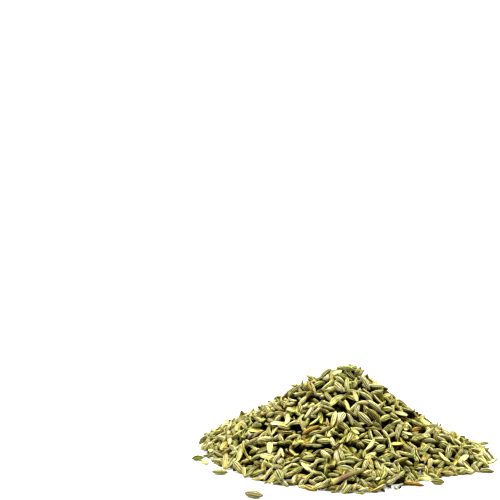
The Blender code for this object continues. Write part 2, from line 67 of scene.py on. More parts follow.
# Grid of heights
GRID_STEP = 0.5 * MM
GRID_HALF_X = 72.0 * MM
GRID_HALF_Y = 68.0 * MM
HEIGHT_DIGITS = 7
SHELL_DEPTH = 8.0 * MM

# Seeds; shares are of the length, of the width or of all seeds
SEED_RNG = 5
SEED_LENGTH = 6.1 * MM
SEED_LENGTH_SPREAD = 0.95 * MM
SEED_LENGTH_LEAST = 4.2 * MM
SEED_LENGTH_MOST = 8.6 * MM
SLENDER_LEAST = 0.30
SLENDER_MOST = 0.40
SPLIT_SHARE = 0.45
WHOLE_THICKNESS = 0.90
SPLIT_THICKNESS = 0.56
BENDS = (0.03, 0.07, 0.13)
BEND_LEAST = 0.6
BEND_MOST = 1.4
LEANING_SHARE = 0.35
LEAN_MOST = 0.8
PITCH_MOST = 0.95
LEAN_SINK = 1.0 * MM
STEEPEST = math.tan(math.radians(44.0))

# Laying
STATIONS = np.linspace(-0.92, 0.92, 11)
OFFSETS = np.array([-0.85, -0.45, 0.0, 0.45, 0.85])
HEADINGS_TRIED = 5
LOOSE_SHARE = 0.85
HEADING_SPREAD = 0.60
HEADING_SQUASH = 0.35
FOOT_HEIGHT = 8.0 * MM
FOOT_ORDER = 0.35
POINTS_TRIED = 28
LAYING_EDGE = 0.3 * MM
LEAST_GAP = 0.9 * MM
PATIENCE = 400
PROUD_SHARES = (0.55, 0.90)
PROUD_HEIGHTS = (0.4 * MM, 1.2 * MM, 2.2 * MM)
EXTRA_ROOM = 2.2 * MM
FLATTEST_COSINE = 0.4
FLOOR_GAP = 0.1 * MM

# The stalk bit on the front slope
STALK_X = 0.6 * MM
STALK_Y = -48.5 * MM
STALK_HEADING = math.radians(25.0)
STALK_LENGTH = 12.5 * MM
STALK_RADIUS = 1.0 * MM
STALK_TAPER = 0.30
STALK_BOW = 0.35 * MM
STALK_SINK = 0.8 * MM
STALK_GAP = 0.35 * MM

Seed = namedtuple("Seed", "x y z yaw pitch roll length width thick bend split")

# Seeds with a place of their own, in millimetres, degrees and radians
Extra = namedtuple("Extra", "x y heading length width bend split roll lean sink", defaults=(0.0, 0.0))
EXTRAS = (
    Extra(-56.8, -0.7, -39, 6.2, 2.3, 0.05, False, 0.3),
    Extra(-54.1, -9.2, -30, 6.4, 1.7, 0.06, True, 0.0),
    Extra(-48.6, -24.0, -48, 3.8, 1.5, 0.10, True, 0.6),
    Extra(56.3, -15.0, 12, 5.6, 1.9, 0.22, True, math.pi, 0.9, 0.2),
    Extra(-11.8, -18.2, 10, 5.4, 1.5, 0.42, True, 1.2, 0.0, 0.9),
    Extra(0.0, 3.4, -2, 5.6, 1.4, 0.10, True, 0.6, 0.4, 0.3),
    Extra(0.2, -4.4, -4, 5.6, 2.1, 0.06, False, 0.2, 0.0, 0.8),
    Extra(-8.6, 0.6, 20, 6.4, 2.2, 0.05, False, 0.9, 0.15, 0.9),
    Extra(-8.8, 3.6, 5, 6.8, 1.3, 0.06, True, 0.4, 0.25, 1.6),
    Extra(-3.1, -11.9, -56, 6.6, 2.7, 0.05, False, 0.5, 0.0, 0.9),
    Extra(0.3, -10.1, -83, 6.8, 2.2, 0.07, False, 1.4, 0.0, 1.0),
    Extra(7.1, -7.7, -35, 6.2, 2.5, 0.05, False, 0.1, 0.0, 0.8),
    Extra(3.4, -13.0, -66, 5.4, 1.7, 0.06, True, math.pi, 0.0, 0.6),
    Extra(6.5, -15.5, 25, 6.4, 2.1, 0.10, True, 0.2, 0.0, 0.7),
    Extra(10.6, -14.3, 12, 7.6, 2.5, 0.04, False, 0.7, 0.0, 0.9),
    Extra(-1.8, -23.8, -108, 7.6, 2.7, 0.05, False, 0.5, 0.0, 0.9),
    Extra(1.4, -22.9, -64, 6.4, 1.7, 0.09, True, 0.3, 0.0, 0.8),
    Extra(6.8, -22.1, -28, 7.2, 2.7, 0.06, False, 1.1, 0.0, 1.0),
    Extra(10.7, -18.5, -14, 8.4, 2.3, 0.12, False, 0.3, 0.0, 0.9),
    Extra(-13.7, -24.7, 22, 7.4, 2.0, 0.07, True, 0.5, 0.0, 0.8),
    Extra(-35.4, -20.6, 31, 8.6, 1.6, 0.06, True, 0.2, 0.0, 0.5),
    Extra(-31.3, -22.8, -6, 6.2, 2.2, 0.05, False, 0.8, 0.0, 0.8),
    Extra(-28.9, -27.7, -86, 6.4, 2.3, 0.03, True, math.pi, 0.0, 0.1),
    Extra(-24.6, -45.1, -68, 5.6, 3.2, 0.04, False, 0.0, 0.0, 0.6),
    Extra(-7.6, -37.8, -46, 5.6, 1.9, 0.20, False, 1.3, 0.0, 0.8),
    Extra(-9.8, -40.5, 44, 5.4, 1.7, 0.24, False, -1.2, 0.0, 0.8),
    Extra(14.1, -43.7, 79, 6.4, 1.8, 0.22, False, 1.4, 0.0, 0.5),
    Extra(25.2, -42.4, -8, 7.8, 1.9, 0.06, True, 0.3, 0.2, 0.3),
)
EXTRA_TONES = (
    "green", "tan", "green", "green", "straw", "green", "green", "green", "dark", "straw",
    "green", "straw", "green", "tan", "straw", "straw", "straw", "straw", "olive", "brown",
    "straw", "straw", "straw", "green", "straw", "straw", "green", "brown",
)
STRAYS = (
    Extra(-57.4, -16.2, 20, 5.2, 2.3, 0.12, True, -2.2),
    Extra(-54.4, -20.6, -32, 4.8, 1.8, 0.08, True, -2.5),
    Extra(-47.5, -33.2, -3, 6.2, 2.5, 0.04, False, 0.2),
    Extra(-33.0, -59.8, -21, 7.4, 3.0, 0.05, False, 0.9),
    Extra(34.0, -40.2, -4, 5.2, 2.5, 0.04, False, 0.5),
    Extra(53.4, -25.4, -3, 5.8, 2.0, 0.06, True, 1.1),
    Extra(55.0, 11.8, 20, 5.2, 1.5, 0.18, True, 0.9),
)
STRAY_TONES = ("dark", "green", "green", "dust", "olive", "olive", "green")

# The seeds nearest to these places of the layout, in millimetres, have a tone of their own
SPOTS = (
    (27.6, -14.2, "brown"),
    (17.0, -6.2, "tan"),
    (38.1, -29.5, "tan"),
    (-14.5, -27.7, "tan"),
)
BARE_ENOUGH = 0.35

# Finer form of a seed; lengths along it are shares of its length, radii of its half width
LOOK_RNG = 23
STALK_RNG = 24
STRAY_RNG = 33
SHOWING = 0.25
Cut = namedtuple("Cut", "rings whole_samples split_gaps rib_step")
FINE = Cut((0.0, 0.03, 0.10, 0.22, 0.38, 0.56, 0.73, 0.87, 0.95, 0.978), 24, 12, 3)
PLAIN = Cut((0.0, 0.08, 0.32, 0.68, 0.92), 12, 6, 2)
FACE_ACROSS = (-0.80, -0.52, -0.24, 0.0, 0.24, 0.52, 0.80)
FACE_LINES = (0.75, 0.15, 0.55, 1.0, 0.55, 0.15, 0.75)
FACE_DISH = 0.30
SPLIT_RISE = 1.8
SPLIT_FLOOR = -0.8
SPLIT_CENTRE = -0.2
JOIN_RELIEF = 1.7
FURROW_DEPTH = (0.20, 0.28)
FULL_FURROWS = 0.6
BLUNT_POWERS = (2.0, 2.7)
ROUND_POWERS = (0.52, 0.82)
BELLY_POWERS = (0.84, 1.16)
NECK = 0.15
KNOB = 0.27
KNOB_FROM = 0.96
TIP_AT = 1.006
RING_WOBBLE = 0.035
RIB_WOBBLE = 0.35
SIDE_BEND = 0.035
TWIST = 0.45
SPLIT_TWIST = 0.4
STUB_SHARE = 0.22
STUB_LENGTHS = (0.04, 0.14)
NO_STUB = 0.004
TIP_TONE_REACH = 0.10
END_LINE = 0.3
GRAIN_APART = 10.0
# Painted shade between the seeds, by depth below the heap's smoothed top: where it starts, the depth at
# which it is full, and the smoothing of the top
DEEP_FROM = -0.3 * MM
DEEP_SPAN = 2.6 * MM
SMOOTH_CELLS = 9
SMOOTH_PASSES = 2
ATLAS_MARGIN = 0.06


# ---- heap form

def foot_radius(angle):
    """Radius of the foot at each angle: a smooth wave through FOOT_RADII."""
    count = len(FOOT_RADII)
    waves = np.fft.rfft(FOOT_RADII) / count
    radius = np.full_like(angle, waves[0].real)
    for k in range(1, len(waves)):
        weight = 2.0 if 2 * k < count else 1.0
        radius += weight * (waves[k].real * np.cos(k * angle) - waves[k].imag * np.sin(k * angle))
    return radius * MM


def cone_height(distance, reach, height, power):
    """Height of a round-topped cone whose sides get flatter towards the foot."""
    rho = np.clip(distance / reach, 0.0, 1.0)
    rounded = np.sqrt(rho ** 2 + TIP_ROUND ** 2) - TIP_ROUND
    full = math.sqrt(1.0 + TIP_ROUND ** 2) - TIP_ROUND
    return height * (1.0 - rounded / full) ** power


def heap_height(x, y):
    """Height that the seeds are filled up to: the main cone and a shoulder to its left."""
    dx = x - PEAK_X
    dy = y - PEAK_Y
    angle = np.arctan2(dy, dx)
    power = SLOPE_POWER + SLOPE_SWAY * np.cos(angle)
    main = cone_height(np.hypot(dx, dy), foot_radius(angle), PEAK_HEIGHT, power)
    aside = np.hypot(dx + SHOULDER_SHIFT, dy)
    shoulder = cone_height(aside, SHOULDER_RADIUS, SHOULDER_HEIGHT, SHOULDER_POWER)
    return np.maximum(main, shoulder)


# ---- laying seeds

class Field:
    """Grid of heights: what is filled so far, and the number of the seed on top."""

    def __init__(self):
        self.xs = np.arange(-GRID_HALF_X, GRID_HALF_X + GRID_STEP / 2, GRID_STEP)
        self.ys = np.arange(-GRID_HALF_Y, GRID_HALF_Y + GRID_STEP / 2, GRID_STEP)
        grid_x, grid_y = np.meshgrid(self.xs, self.ys, indexing="ij")
        # Rounded, so that no choice below hangs on the last digit of a sum
        self.target = np.round(heap_height(grid_x, grid_y), HEIGHT_DIGITS)
        self.height = np.maximum(0.0, self.target - SHELL_DEPTH)
        self.top = np.full(self.height.shape, -1, dtype=int)

    def cell(self, x, y):
        """Nearest cell of each point."""
        i = np.rint((x + GRID_HALF_X) / GRID_STEP).astype(int)
        j = np.rint((y + GRID_HALF_Y) / GRID_STEP).astype(int)
        return np.clip(i, 0, len(self.xs) - 1), np.clip(j, 0, len(self.ys) - 1)


def lowest_line(s, need):
    """Height at s = 0 and slope of the line that rests on the points (s, need)."""
    middle = s.shape[1] // 2
    left = need[:, :middle, None]
    right = need[:, None, middle + 1:]
    s_left = s[:, :middle, None]
    s_right = s[:, None, middle + 1:]
    slopes = (right - left) / (s_right - s_left)
    levels = (left - slopes * s_left).reshape(len(s), -1)
    rows = np.arange(len(s))
    held = levels.argmax(axis=1)
    slope = slopes.reshape(len(s), -1)[rows, held]
    height = np.maximum(levels[rows, held], (need - slope[:, None] * s).max(axis=1))
    return height, slope


def rest(field, x, y, yaws, half_length, half_across, half_tall):
    """Centre height and slope of a seed lowered at (x, y), for each of the headings."""
    round_off = np.sqrt(1.0 - STATIONS ** 2)
    across = OFFSETS[None, :] * (round_off * half_across)[:, None]
    rise = half_tall * round_off[:, None] * np.sqrt(1.0 - OFFSETS ** 2)[None, :]
    cos_yaw = np.cos(yaws)[:, None, None]
    sin_yaw = np.sin(yaws)[:, None, None]
    cos_pitch = np.ones(len(yaws))
    for _ in range(2):
        s = STATIONS[None, :] * (half_length * cos_pitch)[:, None]
        point_x = x + s[:, :, None] * cos_yaw - across[None] * sin_yaw
        point_y = y + s[:, :, None] * sin_yaw + across[None] * cos_yaw
        i, j = field.cell(point_x, point_y)
        need = (field.height[i, j] + rise[None] / cos_pitch[:, None, None]).max(axis=2)
        height, slope = lowest_line(s, need)
        cos_pitch = np.maximum(FLATTEST_COSINE, 1.0 / np.sqrt(1.0 + slope ** 2))
    return height, slope


def half_section(width, thick, roll):
    """Half the width and half the height that a rolled section takes up."""
    half_across = 0.5 * math.hypot(width * math.cos(roll), thick * math.sin(roll))
    half_tall = 0.5 * math.hypot(thick * math.cos(roll), width * math.sin(roll))
    return half_across, half_tall


def stamp(field, number, seed):
    """Raise the grid to the seed's upper side.  Returns how many cells the seed covers."""
    half_across, half_tall = half_section(seed.width, seed.thick, seed.roll)
    half_length = seed.length / 2
    reach = half_length + GRID_STEP
    low_i, low_j = field.cell(np.array(seed.x - reach), np.array(seed.y - reach))
    high_i, high_j = field.cell(np.array(seed.x + reach), np.array(seed.y + reach))
    rows = slice(int(low_i), int(high_i) + 1)
    columns = slice(int(low_j), int(high_j) + 1)
    dx, dy = np.meshgrid(field.xs[rows] - seed.x, field.ys[columns] - seed.y, indexing="ij")
    cos_pitch = max(FLATTEST_COSINE, math.cos(seed.pitch))
    along = (dx * math.cos(seed.yaw) + dy * math.sin(seed.yaw)) / (half_length * cos_pitch)
    across = (dy * math.cos(seed.yaw) - dx * math.sin(seed.yaw)) / half_across
    room = 1.0 - along ** 2 - across ** 2
    dome = half_tall * np.sqrt(np.maximum(0.0, room)) / cos_pitch
    surface = seed.z + along * half_length * math.sin(seed.pitch) + dome
    higher = (room > 0.0) & (surface > field.height[rows, columns])
    field.height[rows, columns][higher] = surface[higher]
    field.top[rows, columns][higher] = number
    return int((room > 0.0).sum())


def draw_seed(rng):
    """Length, width, thickness, roll and kind of one more seed."""
    drawn = rng.normal(SEED_LENGTH, SEED_LENGTH_SPREAD)
    length = float(np.clip(drawn, SEED_LENGTH_LEAST, SEED_LENGTH_MOST))
    width = length * float(rng.uniform(SLENDER_LEAST, SLENDER_MOST))
    split = bool(rng.random() < SPLIT_SHARE)
    thick = width * (SPLIT_THICKNESS if split else WHOLE_THICKNESS)
    roll = float(rng.uniform(0.0, 2.0 * math.pi))
    return length, width, thick, roll, split


def headings(rng, x, y, height):
    """Headings to try: many seeds lie anyhow, the others outwards, and near the foot along X."""
    foot = max(0.0, 1.0 - height / FOOT_HEIGHT)
    outwards = math.atan2((y - PEAK_Y) * HEADING_SQUASH * (1.0 - foot), x - PEAK_X)
    backwards = math.pi * rng.integers(2)
    loose = rng.random() < LOOSE_SHARE - FOOT_ORDER * foot
    spread = math.pi if loose else HEADING_SPREAD
    return outwards + backwards + rng.uniform(-spread, spread, HEADINGS_TRIED)


def try_seed(field, rng, x, y):
    """One seed at (x, y) in the lowest of a few headings, or None where it stands too proud."""
    length, width, thick, roll, split = draw_seed(rng)
    half_across, half_tall = half_section(width, thick, roll)
    i, j = field.cell(np.array(x), np.array(y))
    yaws = headings(rng, x, y, float(field.target[i, j]))
    heights, slopes = rest(field, x, y, yaws, length / 2, half_across, half_tall)
    heights = np.where(np.abs(slopes) > STEEPEST, np.inf, heights)
    best = int(heights.argmin())
    z = float(heights[best])
    pitch = math.atan(float(slopes[best]))
    if rng.random() < LEANING_SHARE:
        pitch += float(rng.uniform(-LEAN_MOST, LEAN_MOST))
        z -= LEAN_SINK
    pitch = float(np.clip(pitch, -PITCH_MOST, PITCH_MOST))
    proud = PROUD_HEIGHTS[int(np.searchsorted(PROUD_SHARES, rng.random()))]
    bend = float(rng.choice(BENDS) * rng.uniform(BEND_LEAST, BEND_MOST))
    if not z + half_tall < field.target[i, j] + proud:
        return None
    return Seed(x, y, z, float(yaws[best]), pitch, roll, length, width, thick, bend, split)


def lay_seeds(field):
    """Fill the shell of the heap.  Returns the seeds and how bare each one lies."""
    rng = np.random.default_rng(SEED_RNG)
    cells_i, cells_j = np.where(field.target > LAYING_EDGE)
    seeds = []
    covered = []
    misses = 0
    while misses < PATIENCE:
        picks = rng.integers(0, len(cells_i), POINTS_TRIED)
        near_i = cells_i[picks]
        near_j = cells_j[picks]
        gaps = field.target[near_i, near_j] - field.height[near_i, near_j]
        deepest = int(gaps.argmax())
        jitter = rng.uniform(-0.5, 0.5, 2) * GRID_STEP
        x = float(field.xs[near_i[deepest]] + jitter[0])
        y = float(field.ys[near_j[deepest]] + jitter[1])
        seed = try_seed(field, rng, x, y) if gaps[deepest] >= LEAST_GAP else None
        if seed is None:
            misses += 1
            continue
        misses = 0
        covered.append(stamp(field, len(seeds), seed))
        seeds.append(seed)
    showing = np.bincount(field.top[field.top >= 0], minlength=len(seeds))
    return seeds, showing / np.array(covered)


def lay_extra(field, extra):
    """A seed with a place of its own, lowered on what lies there."""
    x = extra.x * MM
    y = extra.y * MM
    length = extra.length * MM
    width = extra.width * MM
    thick = width * (SPLIT_THICKNESS if extra.split else WHOLE_THICKNESS)
    yaw = math.radians(extra.heading)
    half_across, half_tall = half_section(width, thick, extra.roll)
    heights, slopes = rest(field, x, y, np.array([yaw]), length / 2, half_across, half_tall)
    z = float(heights[0]) - extra.sink * MM
    pitch = math.atan(float(slopes[0])) + extra.lean
    return Seed(x, y, z, yaw, pitch, extra.roll, length, width, thick, extra.bend, extra.split)


def gives_way(seed, placed):
    """Whether a laid seed is too near to a seed that has a place of its own."""
    middle = Vector((seed.x, seed.y, seed.z))
    return any((Vector((other.x, other.y, other.z)) - middle).length < EXTRA_ROOM for other in placed)


def stalk_placement(field):
    """Where the stalk bit comes to rest on the front slope."""
    yaws = np.array([STALK_HEADING])
    heights, slopes = rest(field, STALK_X, STALK_Y, yaws, STALK_LENGTH / 2, STALK_RADIUS, STALK_RADIUS)
    place = Matrix.Translation((STALK_X, STALK_Y, float(heights[0]) - STALK_SINK))
    pitch = math.atan(float(slopes[0]))
    return place @ Matrix.Rotation(STALK_HEADING, 4, "Z") @ Matrix.Rotation(-pitch, 4, "Y")


def clear_of_stalk(seed, stalk_place):
    """Whether a seed's middle keeps off the stalk bit."""
    local = stalk_place.inverted() @ Vector((seed.x, seed.y, seed.z))
    past_end = max(0.0, abs(local.x) - STALK_LENGTH / 2)
    return math.hypot(past_end, local.y, local.z) > STALK_RADIUS + STALK_GAP


# ---- sections of a seed

Section = namedtuple("Section", "across up relief line face centre")


def whole_section(cut):
    """A whole fruit: ribs all round, and a deeper furrow where its two halves join."""
    count = cut.whole_samples
    numbers = np.arange(count)
    turns = 2.0 * math.pi * (numbers + 0.5) / count
    line = (numbers % cut.rib_step == 1).astype(float)
    relief = 1.0 - line
    relief[[0, -1, count // 2 - 1, count // 2]] *= JOIN_RELIEF
    return Section(np.cos(turns), np.sin(turns), relief, line, np.zeros(count), 0.0)


def split_section(cut):
    """A half fruit: ribs over its back, and a dished face with a pale midline."""
    gaps = cut.split_gaps
    numbers = np.arange(gaps + 1)
    turns = 0.5 * math.pi - math.pi * numbers / gaps
    line = (numbers % cut.rib_step == 0).astype(float)
    face_across = np.array(FACE_ACROSS)
    dish = FACE_DISH * (1.0 - face_across ** 2) * (face_across != 0.0)
    across = np.concatenate([np.sin(turns), face_across])
    up = np.concatenate([SPLIT_RISE * np.cos(turns) + SPLIT_FLOOR, SPLIT_FLOOR + dish])
    relief = np.concatenate([1.0 - line, np.zeros(len(face_across))])
    lines = np.concatenate([line, FACE_LINES])
    face = np.concatenate([np.zeros(gaps + 1), np.ones(len(face_across))])
    return Section(across, up, relief, lines, face, SPLIT_CENTRE)


# ---- many seeds at once

class Batch:
    """Points, faces and surface values of many things that end up in one mesh."""

    def __init__(self):
        self.points = []
        self.faces = []
        self.uvs = []
        # One surface value is the amount of painted shade between the seeds
        self.values = {"line": [], "face": [], "tip": [], "deep": [], "tint": [], "grain": []}
        self.count = 0

    def add(self, points, faces, uvs, **values):
        """Add things that share one layout of faces; the arrays start with the things' axis."""
        things, size = points.shape[:2]
        starts = self.count + np.arange(things) * size
        self.points.append(points.reshape(-1, 3))
        for corners, corner_uvs in zip(faces, uvs):
            self.faces.append((corners[None] + starts[:, None, None]).reshape(-1, corners.shape[1]))
            self.uvs.append(corner_uvs.reshape(-1, corners.shape[1], 2))
        for key, value in values.items():
            self.values[key].append(value.reshape(things * size, -1))
        self.count += things * size

    def set_down(self, floor):
        """Move everything up or down until the lowest point is at this height."""
        lowest = min(float(points[:, 2].min()) for points in self.points)
        for points in self.points:
            points[:, 2] += floor - lowest

    def mesh(self, name):
        """Blender mesh of all that was added."""
        points = np.concatenate(self.points) - np.array(MIDDLE)
        corners = np.concatenate([faces.reshape(-1) for faces in self.faces])
        sizes = np.concatenate([np.full(len(faces), faces.shape[1]) for faces in self.faces])
        mesh = bpy.data.meshes.new(name)
        mesh.vertices.add(len(points))
        mesh.vertices.foreach_set("co", points.astype(np.float32).reshape(-1))
        mesh.loops.add(len(corners))
        mesh.loops.foreach_set("vertex_index", corners.astype(np.int32))
        mesh.polygons.add(len(sizes))
        starts = np.concatenate([[0], np.cumsum(sizes)[:-1]])
        mesh.polygons.foreach_set("loop_start", starts.astype(np.int32))
        mesh.polygons.foreach_set("use_smooth", np.ones(len(sizes), dtype=bool))
        uv_layer = mesh.uv_layers.new(name="OFBake")
        uvs = np.concatenate([uv.reshape(-1, 2) for uv in self.uvs])
        uv_layer.data.foreach_set("uv", uvs.astype(np.float32).reshape(-1))
        for key, parts in self.values.items():
            value = np.concatenate(parts).astype(np.float32)
            kind, entry = ("FLOAT_VECTOR", "vector") if value.shape[1] == 3 else ("FLOAT", "value")
            mesh.attributes.new(key, kind, "POINT").data.foreach_set(entry, value.reshape(-1))
        mesh.update(calc_edges=True)
        mesh.validate()
        return mesh


def skin(rings, samples):
    """Faces of a closed skin over rings of points and two poles, and their corners' places."""
    ring, step = (grid.reshape(-1) for grid in np.indices((rings - 1, samples)))
    after = (step + 1) % samples
    low = ring * samples
    high = low + samples
    quads = np.stack([low + step, low + after, high + after, high + step], axis=1)
    around = np.stack([step, step + 1, step + 1, step], axis=1) / samples
    along = np.stack([ring + 1, ring + 1, ring + 2, ring + 2], axis=1) / (rings + 1)
    one = np.arange(samples)
    following = (one + 1) % samples
    first = np.full(samples, rings * samples)
    last = (rings - 1) * samples
    start = np.stack([first, following, one], axis=1)
    end = np.stack([first + 1, last + one, last + following], axis=1)
    caps = np.concatenate([start, end])
    half = one + 0.5
    cap_around = np.concatenate([
        np.stack([half, one + 1, one], axis=1),
        np.stack([half, one, one + 1], axis=1),
    ]) / samples
    near = np.tile([0.0, 1.0, 1.0], (samples, 1)) / (rings + 1)
    cap_along = np.concatenate([near, 1.0 - near])
    return (quads, caps), (np.stack([around, along], axis=2), np.stack([cap_around, cap_along], axis=2))


def atlas(places, first, total, count):
    """Corner places moved into one square of a grid of squares for each thing."""
    side = math.ceil(math.sqrt(total))
    numbers = first + np.arange(count)
    corner = np.stack([numbers % side, numbers // side], axis=1)
    inside = ATLAS_MARGIN + (1.0 - 2.0 * ATLAS_MARGIN) * places
    return (corner[:, None, None, :] + inside[None]) / side


def ring_radii(rings, rng, count):
    """Radius along each seed: widest near the middle, with a neck, a knob and a slight wobble."""
    t = np.array(rings)[None, :]
    blunt = rng.uniform(*BLUNT_POWERS, (count, 1))
    rounding = rng.uniform(*ROUND_POWERS, (count, 1))
    belly = rng.uniform(*BELLY_POWERS, (count, 1))
    radii = (1.0 - np.abs(2.0 * t ** belly - 1.0) ** blunt) ** rounding
    radii *= 1.0 + rng.normal(0.0, RING_WOBBLE, radii.shape)
    radii = np.maximum(radii, NECK)
    return np.where(t > KNOB_FROM, KNOB, radii)


def turned(first, second, angle):
    """The two coordinates turned by the angle, from the first axis to the second."""
    cos = np.cos(angle)
    sin = np.sin(angle)
    return first * cos - second * sin, first * sin + second * cos


def columns_of(seeds):
    """Each value of the seeds as a column with a row for each seed."""
    return {name: np.array([getattr(seed, name) for seed in seeds])[:, None]
            for name in Seed._fields}


def ring_places(seed, section, rings, rng):
    """Across and up of every ring's samples: furrows between the ribs, and a slight twist."""
    count = len(seed["x"])
    samples = len(section.across)
    even_across, even_up, relief = (
        np.tile(values, len(rings)) for values in (section.across, section.up, section.relief))
    radii = np.repeat(ring_radii(rings, rng, count), samples, axis=1)
    depth = rng.uniform(*FURROW_DEPTH, (count, 1))
    ribs = np.tile(1.0 + rng.normal(0.0, RIB_WOBBLE, (count, samples)), len(rings))
    pull = 1.0 - depth * ribs * np.clip(radii / FULL_FURROWS, 0.0, 1.0) * relief
    across = even_across * pull * radii * seed["width"] / 2
    up = (section.centre + (even_up - section.centre) * pull) * radii * seed["thick"] / 2
    twist = rng.uniform(-TWIST, TWIST, (count, 1)) * np.where(seed["split"], SPLIT_TWIST, 1.0)
    return turned(across, up, twist * (np.repeat(rings, samples) - 0.5))


def end_places(seed, side, rng):
    """Places of the two end points: some seeds keep a stub of stalk at the first."""
    count = len(side)
    stubbed = rng.random((count, 1)) < STUB_SHARE
    stub = np.where(stubbed, rng.uniform(*STUB_LENGTHS, (count, 1)), NO_STUB)
    t = np.concatenate([-stub, np.full((count, 1), TIP_AT)], axis=1)
    x = (t - 0.5) * seed["length"]
    y = np.repeat(side * -0.5, 2, axis=1)
    z = np.repeat(seed["bend"] * seed["length"] * -0.5, 2, axis=1)
    return x, y, z


def seed_arrays(seed, section, rings, rng):
    """Points of many seeds where they lie: the rings' samples, then the two ends."""
    across, up = ring_places(seed, section, rings, rng)
    t = np.repeat(rings, len(section.across))
    swing = 0.5 - (2.0 * t - 1.0) ** 2
    side = rng.normal(0.0, SIDE_BEND, (len(across), 1)) * seed["length"]
    slope = np.arctan(-4.0 * seed["bend"] * (2.0 * t - 1.0))
    x = (t - 0.5) * seed["length"] - up * np.sin(slope)
    y = across + side * swing
    z = seed["bend"] * seed["length"] * swing + up * np.cos(slope)
    ends = end_places(seed, side, rng)
    x, y, z = (np.concatenate(pair, axis=1) for pair in zip((x, y, z), ends))
    y, z = turned(y, z, seed["roll"])
    x, z = turned(x, z, seed["pitch"])
    x, y = turned(x, y, seed["yaw"])
    height = np.maximum(z + seed["z"], FLOOR_GAP)
    return np.stack([x + seed["x"], y + seed["y"], height], axis=2)


def surface_values(seed, section, rings, rng):
    """Pale lines, split faces, tips, tints and the grain's own coordinates."""
    def along(values, at_ends=0.0):
        return np.concatenate([np.tile(values, len(rings)), [at_ends, at_ends]])

    count = len(seed["x"])
    t = np.concatenate([np.repeat(rings, len(section.across)), [0.0, 1.0]])
    tip = np.clip(1.0 - np.minimum(t, 1.0 - t) / TIP_TONE_REACH, 0.0, 1.0)
    tint = rng.random((count, 1, 3))
    half = seed["width"] / 2
    lengthwise = t * seed["length"] + rng.uniform(0.0, GRAIN_APART, (count, 1))
    grain = [along(section.across) * half, along(section.up) * half, lengthwise]
    one = np.ones((count, 1))
    return {
        "line": one * along(section.line, END_LINE),
        "face": one * along(section.face),
        "tip": one * tip,
        "tint": np.repeat(tint, len(t), axis=1),
        "grain": np.stack(grain, axis=2) / MM,
    }


def smooth(heights):
    """The grid of heights, averaged over a few cells each way."""
    kernel = np.ones(SMOOTH_CELLS) / SMOOTH_CELLS
    smoothed = heights
    for _ in range(SMOOTH_PASSES):
        for axis in (0, 1):
            smoothed = np.apply_along_axis(np.convolve, axis, smoothed, kernel, "same")
    return smoothed


def depth_below(field, surface, points):
    """How deep each point lies between the seeds, from 0 on top to 1 in the darkest gaps, as the amount
    of painted shade.
    """
    level = surface[field.cell(points[:, :, 0], points[:, :, 1])]
    return np.clip((level - points[:, :, 2] - DEEP_FROM) / DEEP_SPAN, 0.0, 1.0)


def seed_batch(seeds, cut, rng, field, surface):
    """All the given seeds, whole and split, as one batch."""
    batch = Batch()
    done = 0
    for is_split, section in ((False, whole_section(cut)), (True, split_section(cut))):
        group = [seed for seed in seeds if seed.split == is_split]
        if not group:
            continue
        faces, places = skin(len(cut.rings), len(section.across))
        columns = columns_of(group)
        points = seed_arrays(columns, section, cut.rings, rng)
        uvs = [atlas(place, done, len(seeds), len(group)) for place in places]
        values = surface_values(columns, section, cut.rings, rng)
        # The depth below the heap's smoothed top, kept as the amount of painted shade
        values["deep"] = depth_below(field, surface, points)
        batch.add(points, faces, uvs, **values)
        done += len(group)
    return batch


# ---- rods: the stalk bit and thin bits

Rod = namedtuple("Rod", "place length radius taper bow sides rings fibres ragged")
FIBRE_DEPTH = 0.07
FIBRE_WOBBLE = 0.02
SWELL = 0.05
SWELL_TURNS = 9.0
SWELL_WOBBLE = 0.01
ROD_END = 0.49


def rod_points(rod, rng):
    """A bowed, tapering rod with fibres along it and broken ends."""
    turns = 2.0 * math.pi * np.arange(rod.sides) / rod.sides
    t = np.linspace(0.0, 1.0, rod.rings)
    fibre = np.cos(rod.fibres * turns) * FIBRE_DEPTH + rng.normal(0.0, FIBRE_WOBBLE, rod.sides)
    swell = 1.0 + SWELL * np.sin(t * SWELL_TURNS + rng.uniform(0.0, 6.0))
    swell += rng.normal(0.0, SWELL_WOBBLE, rod.rings)
    radius = rod.radius * (1.0 - rod.taper * t) * swell
    radius = radius[:, None] * (1.0 + fibre[None, :])
    ragged = rng.normal(0.0, rod.ragged, (2, rod.sides))
    x = np.repeat((t - 0.5)[:, None] * rod.length, rod.sides, axis=1)
    x[0] += ragged[0]
    x[-1] += ragged[1]
    bow = rod.bow * (1.0 - (2.0 * t - 1.0) ** 2)
    y = bow[:, None] + radius * np.cos(turns)
    z = radius * np.sin(turns)
    local = np.stack([x, y, z], axis=2).reshape(-1, 3)
    poles = np.array([(end * rod.length, 0.0, 0.0) for end in (-ROD_END, ROD_END)])
    local = np.concatenate([local, poles])
    turn = np.array(rod.place.to_3x3())
    world = local @ turn.T + np.array(rod.place.translation)
    world[:, 2] = np.maximum(world[:, 2], FLOOR_GAP)
    share = np.concatenate([np.repeat(t, rod.sides), [0.0, 1.0]])
    crest = np.concatenate([np.tile(0.5 + 0.5 * np.cos(rod.fibres * turns), rod.rings), [0.5, 0.5]])
    return world, share, crest, local / MM


def rod_batch(rods, rng):
    """All the given rods, of the same fineness, as one batch."""
    batch = Batch()
    faces, places = skin(rods[0].rings, rods[0].sides)
    for number, rod in enumerate(rods):
        world, share, crest, grain = rod_points(rod, rng)
        uvs = [atlas(place, number, len(rods), 1) for place in places]
        tint = np.repeat(rng.random((1, 1, 3)), len(world), axis=1)
        none = np.zeros((1, len(world)))
        # Rods get no painted shade
        batch.add(
            world[None], faces, uvs, line=crest[None], face=none, tip=share[None], deep=none,
            tint=tint, grain=grain[None],
        )
    return batch


# ---- materials

